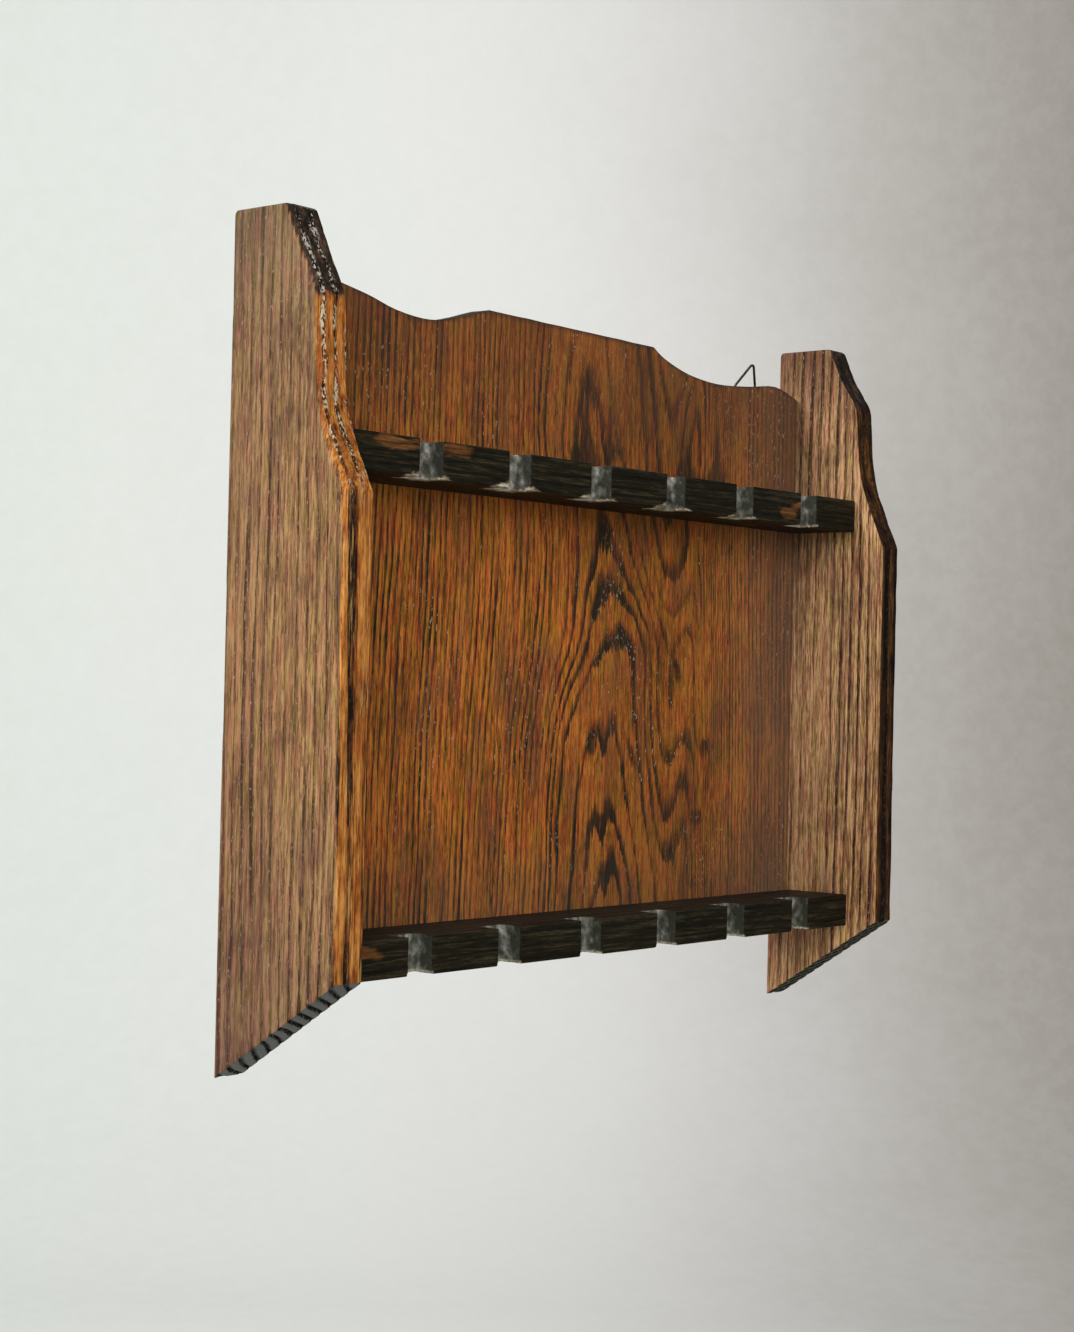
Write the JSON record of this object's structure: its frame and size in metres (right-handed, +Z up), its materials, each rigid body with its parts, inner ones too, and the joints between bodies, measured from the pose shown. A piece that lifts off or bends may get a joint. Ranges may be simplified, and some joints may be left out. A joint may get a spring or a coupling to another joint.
{
  "type": "wall cue rack",
  "caption": "Wall-hung wooden cue rack with shaped oak sides, a scalloped back panel, notched rails for cues and triangle-ring hangers.",
  "frame": {"origin": "on the wall plane, midway between the hangers in X to the middle of the rack's width, at the height where the nails bear in the upright hanger rings", "axes": "+Z up; +Y into the wall, so the rack stands out along -Y; +X along the wall, to the right of someone who faces the rack"},
  "size_m": [0.511, 0.0859, 0.4317],
  "materials": {
    "side_oak": "brushed oak, brown stain, satin",
    "panel_oak": "plain-sawn oak, orange-brown stain, satin",
    "dark_rail": "oak stained nearly black, bare at the notches' torn lips",
    "dowel_beech": "bare, glued",
    "bronzed_steel": "dark bronzed steel",
    "zinc_steel": "zinc plated"
  },
  "bodies": {
    "rack": {"left_side_panel": "side_oak", "right_side_panel": "side_oak", "back_panel": "panel_oak", "upper_cue_rail": "dark_rail", "lower_cue_rail": "dark_rail", "left_upper_rail_dowel_back": "dowel_beech", "left_upper_rail_dowel_front": "dowel_beech", "left_lower_rail_dowel_back": "dowel_beech", "left_lower_rail_dowel_front": "dowel_beech", "right_upper_rail_dowel_back": "dowel_beech", "right_upper_rail_dowel_front": "dowel_beech", "right_lower_rail_dowel_back": "dowel_beech", "right_lower_rail_dowel_front": "dowel_beech", "left_panel_dowel_low": "dowel_beech", "left_panel_dowel_middle": "dowel_beech", "left_panel_dowel_high": "dowel_beech", "right_panel_dowel_low": "dowel_beech", "right_panel_dowel_middle": "dowel_beech", "right_panel_dowel_high": "dowel_beech", "left_hanger_strap": "bronzed_steel", "right_hanger_strap": "bronzed_steel", "upper_rail_screw_1": "zinc_steel", "upper_rail_screw_2": "zinc_steel", "upper_rail_screw_3": "zinc_steel", "lower_rail_screw_1": "zinc_steel", "lower_rail_screw_2": "zinc_steel", "lower_rail_screw_3": "zinc_steel", "left_hanger_screw": "zinc_steel", "right_hanger_screw": "zinc_steel"},
    "left_ring": {"left_hanger_ring": "bronzed_steel"},
    "right_ring": {"right_hanger_ring": "bronzed_steel"}
  },
  "joints": [
    {"name": "left_ring_hinge", "type": "hinge", "parent": "rack", "child": "left_ring", "pos_m": [-0.1979, 0.00235, -0.01734], "axis": [-1, 0, 0], "range_deg": [0, 179]},
    {"name": "right_ring_hinge", "type": "hinge", "parent": "rack", "child": "right_ring", "pos_m": [0.1979, 0.00235, -0.01734], "axis": [-1, 0, 0], "range_deg": [0, 195]}
  ]
}
